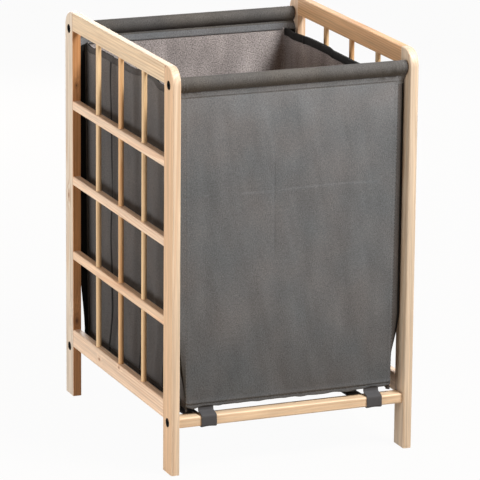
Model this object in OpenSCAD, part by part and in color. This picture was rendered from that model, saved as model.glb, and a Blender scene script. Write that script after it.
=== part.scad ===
// Laundry hamper: two ladder-like pine side frames, two rods and two rails between them,
// and an open-topped cloth bag that hangs from the rods.
// Millimetres. +Z is up, +X is to the right and -Y is the front.
// The origin is on the floor, midway between the four feet.

/* [Overall] */
// Width over the outer faces of the side frames
width = 380; // [340:5:440]
// Depth from the front of the front posts to the back of the rear posts
depth = 450; // [400:5:500]
// Height of the side frames
height = 600; // [580:5:660]

/* [Side frames] */
// Thickness of the posts and side rails, across the hamper
frame_thick = 13; // [12:0.5:18]
// Depth of a post, front to back
post_deep = 34; // [32:1:42]
// Radius of the rounded top corner of each side frame
corner_r = 24; // [18:1:28]
// Radius of the eased long edges
ease_r = 2.5; // [1:0.25:4]
// Radius of the post edges that face the rails
inner_ease_r = 0.8; // [0.4:0.1:1.5]
// Height of the top and bottom side rails
rail_high = 28; // [26:1:32]
// Height of the three slim side rails
slim_rail_high = 14; // [12:1:18]
// Spacing of the slim side rails
slim_rail_pitch = 117; // [110:1:120]
// Underside of the lowest slim side rail
slim_rail_z = 217; // [205:1:225]
// Underside of the bottom side rail
bottom_rail_z = 78; // [70:1:90]

/* [Spindles and glue dowels] */
// Diameter of a spindle
spindle_d = 8; // [7:0.5:9]
// Depth of the socket that each end of a spindle is glued into
spindle_socket = 12; // [8:1:16]
// Diameter of the glue dowels between rails and posts
dowel_d = 6; // [5:0.5:7]
// Length of a glue dowel
dowel_long = 28; // [20:2:28]
// Spacing of the two dowels in the end of a top or bottom rail
dowel_pitch = 11; // [10:0.5:13]

/* [Rods and cross rails] */
// Diameter of the top rods
rod_d = 16; // [14:1:20]
// Depth of a rod's axis below the top of the frames
rod_drop = 26.5; // [25:0.5:30]
// Front-to-back depth of a bottom cross rail
cross_deep = 22; // [18:1:28]
// Height of a bottom cross rail
cross_high = 15; // [13:1:18]
// Height of a cross rail's axis above the floor
cross_z = 76; // [70:1:80]

/* [Bolts and inserts] */
// Diameter of the bolt shank, M6
bolt_d = 6; // [5:0.5:6]
// Diameter of the flat bolt head
head_d = 13.5; // [11:0.5:14]
// Thickness of the bolt head
head_thick = 3; // [2:0.5:4]
// Width across flats of the hexagon socket in the head
key_flats = 4; // [3:1:5]
// Outer diameter of the threaded insert
insert_d = 9; // [8:0.5:10]
// Length of the threaded insert
insert_long = 15; // [12:1:20]

/* [Bag] */
// Width of the bag over its side panels
bag_wide = 320; // [300:2:324]
// Thickness of a panel of outer cloth
cloth_t = 2; // [1:0.5:2]
// Thickness of the lining
lining_t = 0.8; // [0.5:0.1:1]
// Width of the seam allowance that stands out at each upright corner
seam_wide = 14; // [8:1:14]
// Length of the sleeve that each rod runs through
sleeve_long = 352; // [336:2:352]
// Height of the stitched band under a rod sleeve
band_high = 17; // [14:1:20]
// Height of the bottom hem above the floor
hem_z = 90; // [88:1:96]
// Height of the turned hem on top of a side panel
top_hem_high = 10; // [8:1:12]
// Width of a webbing strap
strap_wide = 24; // [20:1:30]
// Thickness of the webbing
strap_t = 1.6; // [1.2:0.2:2]
// Distance of each strap's middle from the middle of the hamper
strap_x = 130.5; // [100:0.5:135]

/* [Hidden] */

$fn = 64;
pine = [0.91, 0.80, 0.66];
pine_warm = [0.88, 0.72, 0.52];
beech = [0.80, 0.62, 0.44];
black_steel = [0.08, 0.08, 0.08];
zinc = [0.72, 0.72, 0.70];
charcoal = [0.36, 0.36, 0.35];
mauve_grey = [0.64, 0.61, 0.60];
webbing_grey = [0.27, 0.27, 0.27];

// Frame, seen from the side
post_y = depth / 2 - post_deep / 2;
rail_long = depth - 2 * post_deep;
top_rail_z = height - rail_high;
rod_z = height - rod_drop;
bolt_levels = [cross_z, rod_z];
slim_rail_levels = [for (i = [0:2]) slim_rail_z + i * slim_rail_pitch];
spindle_rows = [for (i = [-1:1]) i * rail_long / 4];
spindle_low_z = bottom_rail_z + rail_high - spindle_socket;
spindle_high_z = top_rail_z + spindle_socket;
slim_dowel_levels = [slim_rail_high / 2];
wide_dowel_levels = [(rail_high - dowel_pitch) / 2, (rail_high + dowel_pitch) / 2];

// Cross members, between the inner faces of the side frames
cross_long = width - 2 * frame_thick;
end_step = 1;
bolt_clearance = 0.5;
head_clearance = 0.4;
bolt_reach = insert_long - 3;
head_chamfer = 0.5;
key_deep = 2;

// Bag
over = 0.1;
cloth_gap = 0.3;
sleeve_cloth = 1.2;
base_z = hem_z + 7;
rod_sleeve_r = rod_d / 2 + cloth_gap;
band_top_z = rod_z - rod_sleeve_r + 0.8;
band_z = band_top_z - band_high;
band_thick = 2 * sleeve_cloth;
side_top_z = band_z + 1;
side_panel_top_z = side_top_z - top_hem_high;
panel_y = post_y - cloth_t / 2;
hem_thick = cloth_t + 2 * lining_t;

// A w by h rectangle with its corner at the origin and with true round corners:
// r_low on the two corners at y = 0 and r_high on the two at y = h
module eased_rect(w, h, r_low, r_high) {
    polygon([
        [r_low, 0], [w - r_low, 0], [w, r_low], [w, h - r_high],
        [w - r_high, h], [r_high, h], [0, h - r_high], [0, r_low]
    ]);
    for (x = [r_low, w - r_low]) translate([x, r_low]) circle(r_low);
    for (x = [r_high, w - r_high]) translate([x, h - r_high]) circle(r_high);
}

// Extrudes an x-z outline along +Y
module along_y(long) translate([0, long, 0]) rotate([90, 0, 0]) linear_extrude(long) children();

// Extrudes a y-z outline along +X
module along_x(long) rotate([90, 0, 90]) linear_extrude(long) children();

// A round bar or bore that starts at the origin and runs along +X or +Y
module bar_x(long, d) rotate([0, 90, 0]) cylinder(h = long, d = d);
module bar_y(long, d) rotate([-90, 0, 0]) cylinder(h = long, d = d);

// Places left-hand children on the left (side = -1) or mirrors them to the right (side = 1)
module on_side(side) mirror([side > 0 ? 1 : 0, 0, 0]) children();

// Places front children at the front (end = -1) or mirrors them to the rear (end = 1)
module on_end(end) mirror([0, end > 0 ? 1 : 0, 0]) children();

// ---- Side frames -------------------------------------------------------------------------

// Outline of the post's rounded top: radius across, thickness up, eased at the rim
module corner_profile() {
    square([corner_r - ease_r, frame_thick]);
    translate([0, ease_r]) square([corner_r, frame_thick - 2 * ease_r]);
    for (y = [ease_r, frame_thick - ease_r]) translate([corner_r - ease_r, y]) circle(ease_r);
}

// A front left post with its outer front bottom corner at the origin, before drilling
module post_blank() {
    linear_extrude(height - corner_r) eased_rect(frame_thick, post_deep, ease_r, inner_ease_r);
    translate([0, corner_r, height - corner_r]) {
        rotate([0, 90, 0]) rotate([0, 0, 180]) rotate_extrude(angle = 90) corner_profile();
        along_y(post_deep - corner_r) {
            square([frame_thick, corner_r - ease_r]);
            translate([ease_r, 0]) square([frame_thick - 2 * ease_r, corner_r]);
            for (x = [ease_r, frame_thick - ease_r]) translate([x, corner_r - ease_r]) circle(ease_r);
        }
    }
}

// Heights of every glue dowel between a post and its five rails
dowel_levels = concat(
    [for (z = wide_dowel_levels) bottom_rail_z + z],
    [for (z = slim_rail_levels) z + slim_rail_high / 2],
    [for (z = wide_dowel_levels) top_rail_z + z]
);

// Post with its bolt holes, counterbores and dowel holes
module post(side, end) {
    on_side(side) on_end(end) translate([-width / 2, -depth / 2, 0]) difference() {
        post_blank();
        for (z = bolt_levels) translate([0, post_deep / 2, z]) {
            translate([-over, 0, 0]) bar_x(frame_thick + 2 * over, bolt_d + bolt_clearance);
            translate([-over, 0, 0]) bar_x(head_thick + over, head_d + head_clearance);
        }
        for (z = dowel_levels) {
            translate([frame_thick / 2, post_deep - dowel_long / 2, z]) bar_y(dowel_long / 2 + over, dowel_d);
        }
    }
}

// Side rail with its underside at z, its dowel holes, and spindle holes from hole_z up
module side_rail(side, z, high, levels, hole_z, hole_deep) {
    on_side(side) translate([-width / 2, -rail_long / 2, z]) difference() {
        along_y(rail_long) eased_rect(frame_thick, high, ease_r, ease_r);
        for (level = levels, y = [-over, rail_long - dowel_long / 2]) {
            translate([frame_thick / 2, y, level]) bar_y(dowel_long / 2 + over, dowel_d);
        }
        for (y = spindle_rows) {
            translate([frame_thick / 2, rail_long / 2 + y, hole_z]) cylinder(h = hole_deep, d = spindle_d);
        }
    }
}

module top_rail(side)
    side_rail(side, top_rail_z, rail_high, wide_dowel_levels, -over, spindle_socket + over);

module slim_rail(side, i)
    side_rail(side, slim_rail_levels[i], slim_rail_high, slim_dowel_levels, -over, slim_rail_high + 2 * over);

module bottom_rail(side)
    side_rail(side, bottom_rail_z, rail_high, wide_dowel_levels,
        rail_high - spindle_socket, spindle_socket + over);

module spindle(side, i) {
    on_side(side) translate([-width / 2 + frame_thick / 2, spindle_rows[i], spindle_low_z])
        cylinder(h = spindle_high_z - spindle_low_z, d = spindle_d);
}

// The fourteen glue dowels of one side frame, half in a rail and half in a post
module glue_dowels(side) {
    on_side(side) for (end = [-1, 1], z = dowel_levels) on_end(end)
        translate([(frame_thick - width) / 2, -(rail_long + dowel_long) / 2, z]) bar_y(dowel_long, dowel_d);
}

module left_front_post() color(pine) post(-1, -1);
module left_rear_post() color(pine) post(-1, 1);
module left_top_rail() color(pine) top_rail(-1);
module left_upper_slim_rail() color(pine) slim_rail(-1, 2);
module left_middle_slim_rail() color(pine) slim_rail(-1, 1);
module left_lower_slim_rail() color(pine) slim_rail(-1, 0);
module left_bottom_rail() color(pine) bottom_rail(-1);
module left_front_spindle() color(pine) spindle(-1, 0);
module left_middle_spindle() color(pine_warm) spindle(-1, 1);
module left_rear_spindle() color(pine) spindle(-1, 2);
module left_glue_dowels() color(beech) glue_dowels(-1);
module right_front_post() color(pine) post(1, -1);
module right_rear_post() color(pine) post(1, 1);
module right_top_rail() color(pine_warm) top_rail(1);
module right_upper_slim_rail() color(pine) slim_rail(1, 2);
module right_middle_slim_rail() color(pine) slim_rail(1, 1);
module right_lower_slim_rail() color(pine) slim_rail(1, 0);
module right_bottom_rail() color(pine) bottom_rail(1);
module right_front_spindle() color(pine) spindle(1, 0);
module right_middle_spindle() color(pine_warm) spindle(1, 1);
module right_rear_spindle() color(pine) spindle(1, 2);
module right_glue_dowels() color(beech) glue_dowels(1);

// ---- Rods, cross rails and their bolts ------------------------------------------------------

// The two insert bores in the ends of a cross member whose axis is at the origin
module insert_bores() {
    for (side = [-1, 1]) on_side(side)
        translate([-cross_long / 2 - over, 0, 0]) bar_x(insert_long + over, insert_d);
}

module top_rod(end) {
    on_end(end) translate([0, -post_y, rod_z]) difference() {
        translate([-cross_long / 2, 0, 0]) bar_x(cross_long, rod_d);
        insert_bores();
    }
}

// Bottom rail with eased long edges and a small step round each end
module cross_rail(end) {
    tip_deep = cross_deep - 2 * end_step;
    tip_high = cross_high - 2 * end_step;
    on_end(end) translate([0, -post_y, cross_z]) difference() {
        union() {
            translate([-cross_long / 2 + end_step, -cross_deep / 2, -cross_high / 2])
                along_x(cross_long - 2 * end_step) eased_rect(cross_deep, cross_high, ease_r, ease_r);
            translate([-cross_long / 2, -tip_deep / 2, -tip_high / 2])
                along_x(cross_long) eased_rect(tip_deep, tip_high, ease_r - end_step, ease_r - end_step);
        }
        insert_bores();
    }
}

// Flat-headed furniture bolt: the head's face is at the origin and the shank runs along +X
module bolt() {
    shank_long = frame_thick - head_thick + bolt_reach;
    difference() {
        union() {
            rotate([0, 90, 0]) cylinder(h = head_chamfer, d1 = head_d - 2 * head_chamfer, d2 = head_d);
            translate([head_chamfer, 0, 0]) bar_x(head_thick - head_chamfer, head_d);
            translate([head_thick, 0, 0]) bar_x(shank_long, bolt_d);
        }
        translate([-over, 0, 0]) rotate([0, 90, 0])
            cylinder(h = key_deep + over, d = key_flats / cos(30), $fn = 6);
    }
}

// The four bolts of one side frame
module side_bolts(side) {
    on_side(side) for (end = [-1, 1], z = bolt_levels) on_end(end)
        translate([-width / 2, -post_y, z]) bolt();
}

// Four threaded inserts at one level, one in each end of the two cross members there
module inserts(z) {
    for (side = [-1, 1], end = [-1, 1]) on_side(side) on_end(end)
        translate([-cross_long / 2, -post_y, z]) difference() {
            bar_x(insert_long, insert_d);
            translate([-over, 0, 0]) bar_x(insert_long + 2 * over, bolt_d);
        }
}

module front_rod() color(pine) top_rod(-1);
module rear_rod() color(pine) top_rod(1);
module front_cross_rail() color(pine) cross_rail(-1);
module rear_cross_rail() color(pine) cross_rail(1);
module left_bolts() color(black_steel) side_bolts(-1);
module right_bolts() color(black_steel) side_bolts(1);
module rod_inserts() color(zinc) inserts(rod_z);
module cross_rail_inserts() color(zinc) inserts(cross_z);

// ---- Bag ------------------------------------------------------------------------------------

// Front or rear panel, from the bottom hem to the band under its rod
module end_panel(end) {
    on_end(end) translate([-bag_wide / 2, -panel_y - cloth_t, hem_z])
        cube([bag_wide, cloth_t, band_z - hem_z]);
}

// Side panel, from the bottom hem to the turned hem
module side_panel(side) {
    on_side(side) translate([-bag_wide / 2, -panel_y, hem_z])
        cube([cloth_t, 2 * panel_y, side_panel_top_z - hem_z]);
}

// Tunnel that a rod runs through, with the stitched band where its two layers meet
module rod_sleeve(end) {
    on_end(end) translate([-sleeve_long / 2, -post_y, 0]) difference() {
        along_x(sleeve_long) {
            translate([0, rod_z]) circle(rod_sleeve_r + sleeve_cloth);
            translate([-band_thick / 2, band_z]) square([band_thick, band_high]);
        }
        translate([-over, 0, rod_z]) bar_x(sleeve_long + 2 * over, 2 * rod_sleeve_r);
    }
}

// Edge of a side panel, folded over and stitched
module top_hem(side) {
    on_side(side) translate([-bag_wide / 2 - lining_t, -panel_y, side_panel_top_z])
        cube([hem_thick, 2 * panel_y, top_hem_high]);
}

// Outline of a strip of thickness t along a y-z path, with mitred bends
function unit(v) = v / norm(v);
function right_of(v) = [v[1], -v[0]];
function mitre(n, m) = (n + m) / (1 + n * m);
function way_in(path, i) = right_of(unit(path[max(i, 1)] - path[max(i, 1) - 1]));
function way_out(path, i) = way_in(path, min(i + 1, len(path) - 1));
function beside(path, d) =
    [for (i = [0:len(path) - 1]) path[i] + d * mitre(way_in(path, i), way_out(path, i))];
function reversed(list) = [for (i = [len(list) - 1:-1:0]) list[i]];
function strip(path, t) = concat(beside(path, t / 2), reversed(beside(path, -t / 2)));

// Strap of webbing: sewn behind the front hem, over the front of one cross rail, back under both
// cross rails and up to the rear hem
module strap(side) {
    sewn_y = panel_y - cloth_gap - strap_t / 2;
    face_y = post_y + cross_deep / 2 + cloth_gap + strap_t / 2;
    under_z = cross_z - cross_high / 2 - cloth_gap - strap_t / 2;
    slant = 1.5;
    rear_half = [
        [face_y, under_z], [face_y, cross_z + cross_high / 2 + slant],
        [sewn_y, hem_z - slant], [sewn_y, base_z - over]
    ];
    front_half = [for (p = reversed(rear_half)) [-p[0], p[1]]];
    translate([side * strap_x - strap_wide / 2, 0, 0])
        along_x(strap_wide) polygon(strip(concat(front_half, rear_half), strap_t));
}

module bag_front_panel() color(charcoal) end_panel(-1);
module bag_rear_panel() color(charcoal) end_panel(1);
module bag_left_panel() color(charcoal) side_panel(-1);
module bag_right_panel() color(charcoal) side_panel(1);

module bag_base() color(charcoal) {
    translate([-bag_wide / 2 + cloth_t, -panel_y, base_z])
        cube([bag_wide - 2 * cloth_t, 2 * panel_y, cloth_t]);
}

// Open-topped inner skin of the bag
module bag_lining() color(mauve_grey) {
    out_x = bag_wide / 2 - cloth_t;
    low_z = base_z + cloth_t;
    high = side_panel_top_z - low_z;
    difference() {
        translate([-out_x, -panel_y, low_z]) cube([2 * out_x, 2 * panel_y, high]);
        translate([-out_x + lining_t, -panel_y + lining_t, low_z + lining_t])
            cube([2 * (out_x - lining_t), 2 * (panel_y - lining_t), high]);
    }
}

// The four upright seam allowances, two layers of cloth thick, that stand out at the corners
module bag_corner_seams() color(charcoal) {
    for (side = [-1, 1], end = [-1, 1]) on_side(side) on_end(end)
        translate([-bag_wide / 2 - seam_wide, -panel_y - cloth_t, hem_z])
            cube([seam_wide, band_thick, band_z - hem_z]);
}

module front_rod_sleeve() color(charcoal) rod_sleeve(-1);
module rear_rod_sleeve() color(charcoal) rod_sleeve(1);
module left_top_hem() color(charcoal) top_hem(-1);
module right_top_hem() color(charcoal) top_hem(1);
module left_strap() color(webbing_grey) strap(-1);
module right_strap() color(webbing_grey) strap(1);

left_front_post();
left_rear_post();
left_top_rail();
left_upper_slim_rail();
left_middle_slim_rail();
left_lower_slim_rail();
left_bottom_rail();
left_front_spindle();
left_middle_spindle();
left_rear_spindle();
left_glue_dowels();
right_front_post();
right_rear_post();
right_top_rail();
right_upper_slim_rail();
right_middle_slim_rail();
right_lower_slim_rail();
right_bottom_rail();
right_front_spindle();
right_middle_spindle();
right_rear_spindle();
right_glue_dowels();
front_rod();
rear_rod();
front_cross_rail();
rear_cross_rail();
left_bolts();
right_bolts();
rod_inserts();
cross_rail_inserts();
bag_front_panel();
bag_rear_panel();
bag_left_panel();
bag_right_panel();
bag_base();
bag_lining();
bag_corner_seams();
front_rod_sleeve();
rear_rod_sleeve();
left_top_hem();
right_top_hem();
left_strap();
right_strap();
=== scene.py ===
# %% [markdown]
# # A laundry hamper in pine and cloth
#
# Two ladder-like side frames of pine are joined by two round rods at the top and two flat rails at
# the bottom. A charcoal cloth bag hangs from the rods by a sewn sleeve at each end. Two webbing
# straps under it are wrapped round the bottom rails, so that a full bag can't swing.
#
# The wooden pieces already have their exact shape in the CAD frame, so they only get a finish here.
# Everything that is cloth is built anew as a surface worked out with numpy.

import bpy
import numpy as np
from mathutils import Matrix, Vector


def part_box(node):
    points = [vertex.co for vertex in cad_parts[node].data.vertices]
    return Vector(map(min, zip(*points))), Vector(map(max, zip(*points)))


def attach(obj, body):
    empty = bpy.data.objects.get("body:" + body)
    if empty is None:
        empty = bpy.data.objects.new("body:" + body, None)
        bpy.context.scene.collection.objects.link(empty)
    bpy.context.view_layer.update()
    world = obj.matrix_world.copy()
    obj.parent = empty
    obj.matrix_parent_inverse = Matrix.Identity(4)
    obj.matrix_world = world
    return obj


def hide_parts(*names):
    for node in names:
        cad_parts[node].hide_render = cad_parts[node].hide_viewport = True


MM = 0.001
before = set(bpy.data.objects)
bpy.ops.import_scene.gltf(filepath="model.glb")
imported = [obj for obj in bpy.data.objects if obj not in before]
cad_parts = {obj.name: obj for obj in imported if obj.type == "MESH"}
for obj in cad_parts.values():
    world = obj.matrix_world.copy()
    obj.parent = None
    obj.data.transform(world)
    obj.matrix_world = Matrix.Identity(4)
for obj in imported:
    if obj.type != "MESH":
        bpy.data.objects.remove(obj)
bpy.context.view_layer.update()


# %% Small helpers and sizes
def put_in_scene(name, data):
    """A new object with this data, linked into the scene."""
    made = bpy.data.objects.new(name, data)
    bpy.context.scene.collection.objects.link(made)
    return made


def span(node):
    """Lowest and highest corner of a CAD node, in millimetres."""
    low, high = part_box(node)
    return np.array(low) / MM, np.array(high) / MM


def middle(node):
    """Middle of a CAD node, in millimetres."""
    low, high = span(node)
    return (low + high) / 2


FRAME_TALL = span("left_front_post")[1][2]
ROD_Z = middle("rear_rod")[2]
ROD_R = (span("rear_rod")[1][2] - span("rear_rod")[0][2]) / 2
print("rods:", round(ROD_Z, 1), "mm up, radius", round(ROD_R, 1))

# %% [markdown]
# ## Camera
#
# A long lens from well back keeps the upright posts nearly parallel, as in catalogue pictures. The
# camera stands to the left of the front and a little above the rim, so that the front, the left
# side and the lining all show. Its axes are worked out from azimuth, elevation and roll.


# %% Camera
AZIMUTH = np.radians(-22.32)
ELEVATION = np.radians(14.92)
ROLL = np.radians(0.51)
DISTANCE = 5.73
LENS = 288.1
AIM_RIGHT = 0.0056
AIM_UP = -0.0205


def direction(azimuth, elevation):
    """Unit vector from the object to a viewer: azimuth 0 is the front, 90 degrees the right side."""
    flat = Vector((np.sin(azimuth), -np.cos(azimuth), 0)) * np.cos(elevation)
    return flat + Vector((0, 0, np.sin(elevation)))


back = direction(AZIMUTH, ELEVATION)
level_right = Vector((np.cos(AZIMUTH), np.sin(AZIMUTH), 0))
level_up = back.cross(level_right)
right = level_right * np.cos(ROLL) + level_up * np.sin(ROLL)
up = level_up * np.cos(ROLL) - level_right * np.sin(ROLL)
target = Vector((0, 0, FRAME_TALL * MM / 2)) + level_right * AIM_RIGHT + level_up * AIM_UP

camera_data = bpy.data.cameras.new("camera")
camera_data.sensor_width = 36
camera_data.lens = LENS
camera = put_in_scene("camera", camera_data)
turn = Matrix((right, up, back)).transposed().to_4x4()
camera.matrix_world = Matrix.Translation(target + back * DISTANCE) @ turn
bpy.context.scene.camera = camera
bpy.context.scene.view_settings.view_transform = "Standard"
print("camera at", [round(place, 3) for place in camera.matrix_world.translation])

# %% [markdown]
# ## Colours and nodes
#
# Hex colours are how a paint card or a web page writes them, so one function turns them to the
# linear light that shaders work in. A second small function adds any shader node, with its
# settings and its links, which keeps each material readable as a recipe.


# %% Helpers for materials
def linear(hex_colour):
    """sRGB hex to linear RGBA: a straight line up to 0.04045, a power of 2.4 above it."""
    srgb = np.array([int(hex_colour[i:i + 2], 16) for i in (0, 2, 4)]) / 255
    light = np.where(srgb <= 0.04045, srgb / 12.92, ((srgb + 0.055) / 1.055) ** 2.4)
    return (*light.tolist(), 1.0)


def add(tree, kind, inputs=(), stops=(), **settings):
    """Adds the node ShaderNode + kind. An input is a value or a socket to link, and stops fill a ramp."""
    made = tree.nodes.new("ShaderNode" + kind)
    for name, value in settings.items():
        setattr(made, name, value)
    for key, value in dict(inputs).items():
        if isinstance(value, bpy.types.NodeSocket):
            tree.links.new(value, made.inputs[key])
        else:
            made.inputs[key].default_value = value
    for number, (place, colour) in enumerate(stops):
        elements = made.color_ramp.elements
        element = elements[number] if number < 2 else elements.new(place)
        element.position = place
        element.color = linear(colour)
    return made


def start_material(name):
    """An empty material: returns it and its node tree."""
    material = bpy.data.materials.new(name)
    material.use_nodes = True
    material.node_tree.nodes.clear()
    return material, material.node_tree


# %% Parts that recipes share
# nearly all of a noise lies between these two values
NOISE_LOW = 0.3
NOISE_HIGH = 0.7


def shaded_by(tree, colour, mask, low, high):
    """The colour times a factor that runs from low to high with the mask."""
    factor = add(tree, "MapRange", {0: mask, 1: NOISE_LOW, 2: NOISE_HIGH, 3: low, 4: high})
    return add(tree, "Mix", {0: 1.0, 6: colour, 7: factor.outputs[0]}, data_type="RGBA",
               blend_type="MULTIPLY").outputs[2]


def stretched_mottle(tree, place, per_metre, detail=2.0):
    """A mottled pattern with so many patches per metre along each of the three axes."""
    scaled = add(tree, "Mapping", {0: place, 3: per_metre})
    return add(tree, "TexNoise", {0: scaled.outputs[0], "Scale": 1.0, "Detail": detail}).outputs[0]


def finish_material(material, colour, roughness, bump, **shader):
    """Ends a recipe with a Principled shader and its bump, which is a height, how many millimetres it
    stands for and how strongly it shows."""
    tree = material.node_tree
    height, tall, strength = bump
    relief = add(tree, "Bump", {"Height": height, "Distance": tall * MM, "Strength": strength})
    inputs = {"Base Color": colour, "Roughness": roughness, "Normal": relief.outputs[0]}
    inputs.update({name.replace("_", " "): value for name, value in shader.items()})
    shaded = add(tree, "BsdfPrincipled", inputs)
    add(tree, "OutputMaterial", {"Surface": shaded.outputs[0]})
    return material


# %% [markdown]
# ## Floor, sky and lamps
#
# The hamper stands on a plain white sweep. The floor and the sky show white to the camera and in
# reflections, while the light that they throw on the hamper stays low and warm, so that the white
# ground doesn't wash out the cloth. A wide softbox stands straight out from the left side frame: the
# shadows of the thin spindles melt away in it, while the rails' soft shadows stay on the bag. The key
# light is high on the right. A weak lamp fills the front, and one behind keeps the back from going
# dark.


# %% Floor and sky
# strength and colour of the sky's light, white of the shown floor, and the colour it throws back
SKY_GLOW = 0.14
WARM_SKY = "FFBC77"
FLOOR_WHITE = 0.96
FLOOR_BOUNCE = "ADA294"


def seen_directly(tree):
    """1 for rays that show the background to the camera, in a gloss or through glass, otherwise 0."""
    ray = add(tree, "LightPath").outputs
    shiny = add(tree, "Math", {0: ray["Is Glossy Ray"], 1: ray["Is Transmission Ray"]},
                operation="MAXIMUM")
    return add(tree, "Math", {0: shiny.outputs[0], 1: ray["Is Camera Ray"]},
               operation="MAXIMUM").outputs[0]


sky = bpy.data.worlds.new("white_sweep_sky")
sky.use_nodes = True
sky_tree = sky.node_tree
sky_tree.nodes.clear()
shown = seen_directly(sky_tree)
sky_strength = add(sky_tree, "MapRange", {0: shown, 3: SKY_GLOW, 4: 1.0})
sky_colour = add(sky_tree, "Mix", {0: shown, 6: linear(WARM_SKY), 7: linear("FFFFFF")}, data_type="RGBA")
sky_light = add(sky_tree, "Background", {0: sky_colour.outputs[2], 1: sky_strength.outputs[0]})
add(sky_tree, "OutputWorld", {0: sky_light.outputs[0]})
bpy.context.scene.world = sky

floor_material, floor_tree = start_material("white_paper_sweep")
matt = add(floor_tree, "BsdfDiffuse", {"Color": linear(FLOOR_BOUNCE)})
glow = add(floor_tree, "Emission", {"Color": linear("FFFFFF"), "Strength": 1.0})
share = add(floor_tree, "Math", {0: seen_directly(floor_tree), 1: FLOOR_WHITE}, operation="MULTIPLY")
sweep = add(floor_tree, "MixShader", {0: share.outputs[0], 1: matt.outputs[0], 2: glow.outputs[0]})
add(floor_tree, "OutputMaterial", {"Surface": sweep.outputs[0]})

FLOOR_HALF = 6.0
JUST_UNDER = -0.2 * MM
floor_mesh = bpy.data.meshes.new("floor")
turns = ((-1, -1), (1, -1), (1, 1), (-1, 1))
floor_corners = [(x * FLOOR_HALF, y * FLOOR_HALF, JUST_UNDER) for x, y in turns]
floor_mesh.from_pydata(floor_corners, [], [(0, 1, 2, 3)])
floor_mesh.materials.append(floor_material)
put_in_scene("floor", floor_mesh)
print("floor", 2 * FLOOR_HALF, "m square")

# %% Lamps
# name: azimuth and elevation in degrees, distance, width and height in metres, power in watts
LAMPS = {
    "left_softbox": (-84, 10, 2.3, 2.2, 0.8, 38),
    "high_front_softbox": (32, 50, 2.3, 0.8, 0.8, 68),
    "low_front_softbox": (-20, 5, 2.4, 1.0, 0.8, 1.5),
    "rear_softbox": (170, 12, 2.4, 1.2, 0.8, 30),
}
for name, (azimuth, elevation, distance, wide, tall, watts) in LAMPS.items():
    lamp = bpy.data.lights.new(name, "AREA")
    lamp.shape = "RECTANGLE"
    lamp.size = wide
    lamp.size_y = tall
    lamp.energy = watts
    towards = direction(np.radians(azimuth), np.radians(elevation))
    holder = put_in_scene(name, lamp)
    holder.location = Vector((0, 0, FRAME_TALL * MM / 2)) + towards * distance
    holder.rotation_euler = towards.to_track_quat("Z", "Y").to_euler()
print("lamps:", ", ".join(LAMPS))

# %% [markdown]
# ## Pine
#
# The frame is knotty pine, planed, sanded and given a clear matt lacquer. Pine shows its growth
# rings as stripes: pale spring wood that darkens to a thin tan line of summer wood, then soon starts
# pale again. A saw-tooth wave of rings round the tree's pith does just that. Every stick was cut
# from its own place in a tree, so each gets a pith of its own, 25 to 60 mm away, and is turned a
# degree or so off the tree's axis, which makes the stripes run out along its face. One face of each
# left post has painted shade: the rear post's front face is darker and more orange, and the front
# post's left face a little darker and warmer.

# %% Pine recipe
QUARTER = np.pi / 2
ALONG = {"X": (0, QUARTER, 0), "Y": (QUARTER, 0, 0), "Z": (0, 0, 0)}
# a wave texture of scale 1 repeats every 2 pi / 20 of its coordinates
WAVE_TURN = 2 * np.pi / 20
# millimetres from ring to ring, and how many times longer every pattern is along the grain
RING_PITCH = 3.6
GRAIN_STRETCH = 9.0
# how far the rings wander, over coarse waves
RING_WANDER = {"Distortion": 9.0, "Detail": 1.5, "Detail Scale": 0.14}
# patterns per metre: fibres 1 mm wide, streaks 5 mm wide, patches of stronger rings 22 mm wide
FIBRES = (900, 900, 160)
STREAKS = (210, 210, 30)
RING_PATCHES = 45.0
# a knot is longer along the grain, and bends the rings out to so many radii and by so many
KNOT_STRETCH = 1.9
KNOT_REACH = 2.6
KNOT_PUSH = 1.6
# colours of a knot from its rim to its eye, and how far each covers the wood
KNOT_BROWNS = ((0.0, "B98454"), (0.2, "8A5530"), (0.36, "A8764A"), (0.9, "5A321C"))
KNOT_COVERS = ((0.0, "000000"), (0.16, "909090"), (0.5, "F0F0F0"), (1.0, "FFFFFF"))


def round_knots(tree, place, grain, knots):
    """Places pushed aside round each knot, so that rings bend there, and a ball of 0 to 1 for each."""
    stretch = [1.0, 1.0, 1.0]
    stretch["XYZ".index(grain)] = KNOT_STRETCH
    bent = place
    eyes = []
    for spot, radius in knots:
        reach = [side * radius * MM for side in stretch]
        wide = [side * KNOT_REACH for side in reach]
        inputs = {0: place, 1: [side * MM for side in spot]}
        eye = add(tree, "Mapping", {**inputs, 3: reach}, vector_type="TEXTURE")
        near = add(tree, "Mapping", {**inputs, 3: wide}, vector_type="TEXTURE")
        ball = add(tree, "TexGradient", {0: eye.outputs[0]}, gradient_type="QUADRATIC_SPHERE")
        pull = add(tree, "TexGradient", {0: near.outputs[0]}, gradient_type="QUADRATIC_SPHERE")
        push = (radius * KNOT_PUSH * MM,) * 3
        bent = add(tree, "VectorMath", {0: pull.outputs[1], 1: push, 2: bent},
                   operation="MULTIPLY_ADD").outputs[0]
        eyes.append(ball.outputs[1])
    return bent, eyes


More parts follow.
